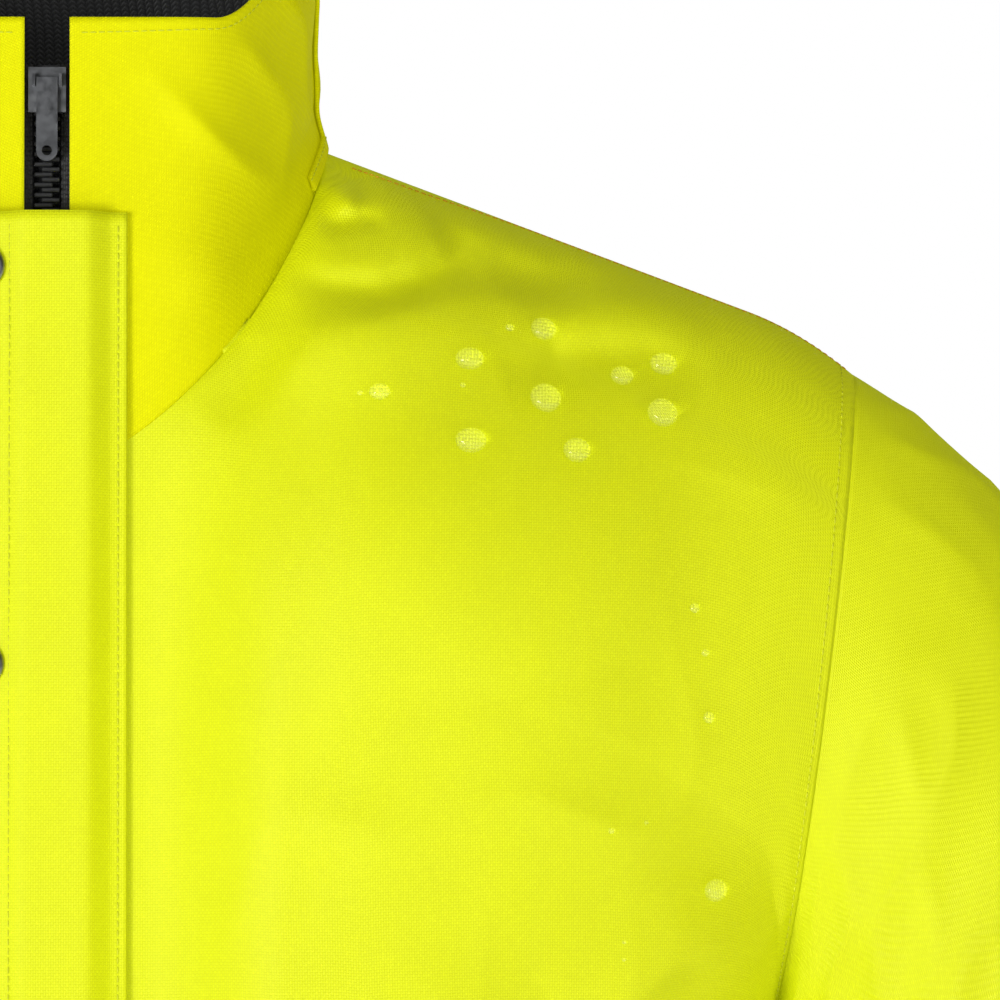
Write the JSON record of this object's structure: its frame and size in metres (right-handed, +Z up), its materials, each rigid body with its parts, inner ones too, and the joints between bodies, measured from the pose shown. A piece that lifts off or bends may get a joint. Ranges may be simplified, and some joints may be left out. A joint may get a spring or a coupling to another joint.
{
  "type": "foul weather jacket",
  "caption": "Hip-length waterproof jacket with a high collar that stows a hood, a zip under a snapped storm flap, patch pockets, reflective bands and tabbed cuffs.",
  "frame": {"origin": "middle of the underside of the hanger loop, inside the back of the neck", "axes": "+Z up, -Y out of the front, +X towards the wearer's left"},
  "size_m": [0.8828, 0.3099, 0.8205],
  "materials": {
    "shell_fabric": "fine plain weave, slightly glossy coating",
    "lining_fabric": "matte knit",
    "reflective_tape": "silver, fine glass-bead sheen",
    "zip_plastic": "satin moulded",
    "webbing": "woven tape",
    "trim_metal": "satin"
  },
  "bodies": {
    "torso": {"front_panel_left": "shell_fabric", "lining_front_left": "lining_fabric", "front_panel_right": "shell_fabric", "lining_front_right": "lining_fabric", "back_panel": "shell_fabric", "lining_back": "lining_fabric", "collar_outer": "shell_fabric", "collar_lining": "lining_fabric", "stowed_hood": "shell_fabric", "hood_pouch_flap": "shell_fabric", "hanger_loop": "webbing", "band_upper_front_left": "reflective_tape", "band_upper_front_right": "reflective_tape", "band_upper_back": "reflective_tape", "band_lower_front_left": "reflective_tape", "band_lower_front_right": "reflective_tape", "band_lower_back": "reflective_tape", "zip_teeth_left": "zip_plastic", "zip_teeth_right": "zip_plastic", "zip_tape_left": "webbing", "zip_tape_right": "webbing", "zip_retainer": "zip_plastic", "snap_stud_1": "trim_metal", "snap_stud_2": "trim_metal", "snap_stud_3": "trim_metal", "snap_stud_4": "trim_metal", "snap_stud_5": "trim_metal", "snap_stud_6": "trim_metal", "inner_storm_flap": "lining_fabric", "sleeve_head_left": "shell_fabric", "pocket_left": "shell_fabric", "sleeve_head_right": "shell_fabric", "pocket_right": "shell_fabric"},
    "zip_slider": {"zip_slider": "trim_metal", "zip_slider_back": "trim_metal"},
    "zip_puller": {"zip_puller": "trim_metal"},
    "storm_flap": {"storm_flap": "shell_fabric", "snap_cap_1": "trim_metal", "snap_cap_2": "trim_metal", "snap_cap_3": "trim_metal", "snap_cap_4": "trim_metal", "snap_cap_5": "trim_metal", "snap_cap_6": "trim_metal", "band_upper_flap": "reflective_tape", "band_lower_flap": "reflective_tape"},
    "upper_arm_left": {"sleeve_upper_left": "shell_fabric", "arm_band_left": "reflective_tape", "sleeve_elbow_left": "shell_fabric"},
    "forearm_left": {"sleeve_forearm_left": "shell_fabric", "inner_cuff_left": "lining_fabric"},
    "cuff_tab_left": {"cuff_tab_left": "shell_fabric"},
    "pocket_flap_left": {"pocket_flap_left": "shell_fabric"},
    "upper_arm_right": {"sleeve_upper_right": "shell_fabric", "arm_band_right": "reflective_tape", "sleeve_elbow_right": "shell_fabric"},
    "forearm_right": {"sleeve_forearm_right": "shell_fabric", "inner_cuff_right": "lining_fabric"},
    "cuff_tab_right": {"cuff_tab_right": "shell_fabric"},
    "pocket_flap_right": {"pocket_flap_right": "shell_fabric"}
  },
  "joints": [
    {"name": "storm_flap_hinge", "type": "hinge", "parent": "torso", "child": "storm_flap", "pos_m": [0.0265, -0.15164, -0.3752], "axis": [0, 0.1142, 0.9935], "range_deg": [0, 115]},
    {"name": "zip_slide", "type": "slide", "parent": "torso", "child": "zip_slider", "axis": [0, 0.1142, 0.9935], "range_m": [-0.7, 0]},
    {"name": "zip_puller_hinge", "type": "hinge", "parent": "zip_slider", "child": "zip_puller", "pos_m": [0, -0.10441, 0.02374], "axis": [-1, 0, 0], "range_deg": [0, 150]},
    {"name": "pocket_flap_hinge_left", "type": "hinge", "parent": "torso", "child": "pocket_flap_left", "pos_m": [0.13163, -0.1665, -0.4983], "axis": [-0.9645, -0.264, 0], "range_deg": [0, 120]},
    {"name": "shoulder_left", "type": "hinge", "parent": "torso", "child": "upper_arm_left", "pos_m": [0.258, -0.03041, -0.1404], "axis": [0, -1, 0], "range_deg": [0, 60], "deforming": ["sleeve_head_left"]},
    {"name": "elbow_left", "type": "hinge", "parent": "upper_arm_left", "child": "forearm_left", "pos_m": [0.354, -0.03641, -0.4744], "axis": [-1, 0, 0], "range_deg": [0, 80], "deforming": ["sleeve_elbow_left"]},
    {"name": "cuff_tab_hinge_left", "type": "hinge", "parent": "forearm_left", "child": "cuff_tab_left", "pos_m": [0.36496, -0.12573, -0.65966], "axis": [0.1747, -0.1233, -0.9769], "range_deg": [0, 100]},
    {"name": "pocket_flap_hinge_right", "type": "hinge", "parent": "torso", "child": "pocket_flap_right", "pos_m": [-0.13163, -0.1665, -0.4983], "axis": [-0.9645, 0.264, 0], "range_deg": [0, 120]},
    {"name": "shoulder_right", "type": "hinge", "parent": "torso", "child": "upper_arm_right", "pos_m": [-0.258, -0.03041, -0.1404], "axis": [0, 1, 0], "range_deg": [0, 60], "deforming": ["sleeve_head_right"]},
    {"name": "elbow_right", "type": "hinge", "parent": "upper_arm_right", "child": "forearm_right", "pos_m": [-0.354, -0.03641, -0.4744], "axis": [-1, 0, 0], "range_deg": [0, 80], "deforming": ["sleeve_elbow_right"]},
    {"name": "cuff_tab_hinge_right", "type": "hinge", "parent": "forearm_right", "child": "cuff_tab_right", "pos_m": [-0.36496, -0.12573, -0.65966], "axis": [0.1747, 0.1233, 0.9769], "range_deg": [0, 100]}
  ]
}
